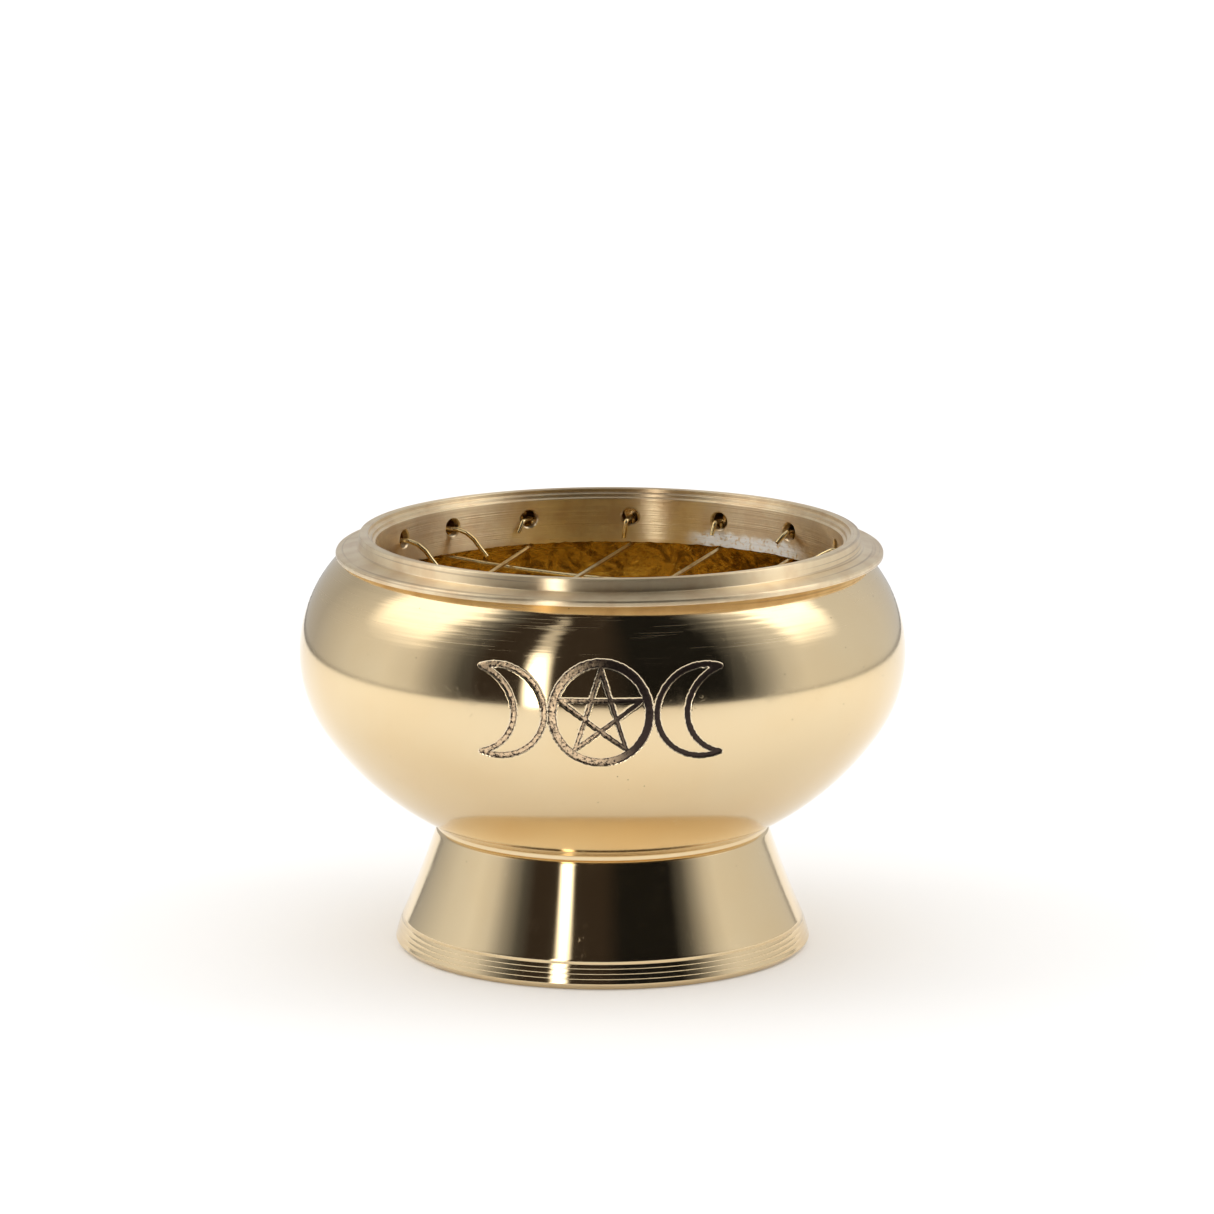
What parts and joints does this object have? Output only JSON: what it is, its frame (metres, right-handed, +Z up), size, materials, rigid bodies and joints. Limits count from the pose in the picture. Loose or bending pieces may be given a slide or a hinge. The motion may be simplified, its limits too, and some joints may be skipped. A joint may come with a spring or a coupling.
{
  "type": "screen censer",
  "caption": "Round closed-in brass bowl on a flared foot, with a loose lift-out collar that carries a wire screen for resin over charcoal.",
  "frame": {"origin": "centre of the ring that the foot stands on, at table level", "axes": "+Z up along the bowl's axis, -Y towards the engraved front, +X to the right seen from the front"},
  "size_m": [0.076, 0.076, 0.0525],
  "materials": {
    "polished_brass": "mirror polished, with fine lathe lines and handling scratches",
    "turned_brass": "satin, as turned on the lathe",
    "brass_wire": "bright drawn wire"
  },
  "bodies": {
    "burner": {"bowl": "polished_brass", "foot": "polished_brass"},
    "screen": {"screen_collar": "turned_brass", "screen_wire_over_1": "brass_wire", "screen_wire_over_2": "brass_wire", "screen_wire_over_3": "brass_wire", "screen_wire_over_4": "brass_wire", "screen_wire_under_1": "brass_wire", "screen_wire_under_2": "brass_wire", "screen_wire_under_3": "brass_wire", "screen_wire_under_4": "brass_wire"}
  },
  "joints": [
    {"name": "screen_lift", "type": "slide", "parent": "burner", "child": "screen", "axis": [0, 0, 1], "range_m": [0, 0.03]}
  ]
}
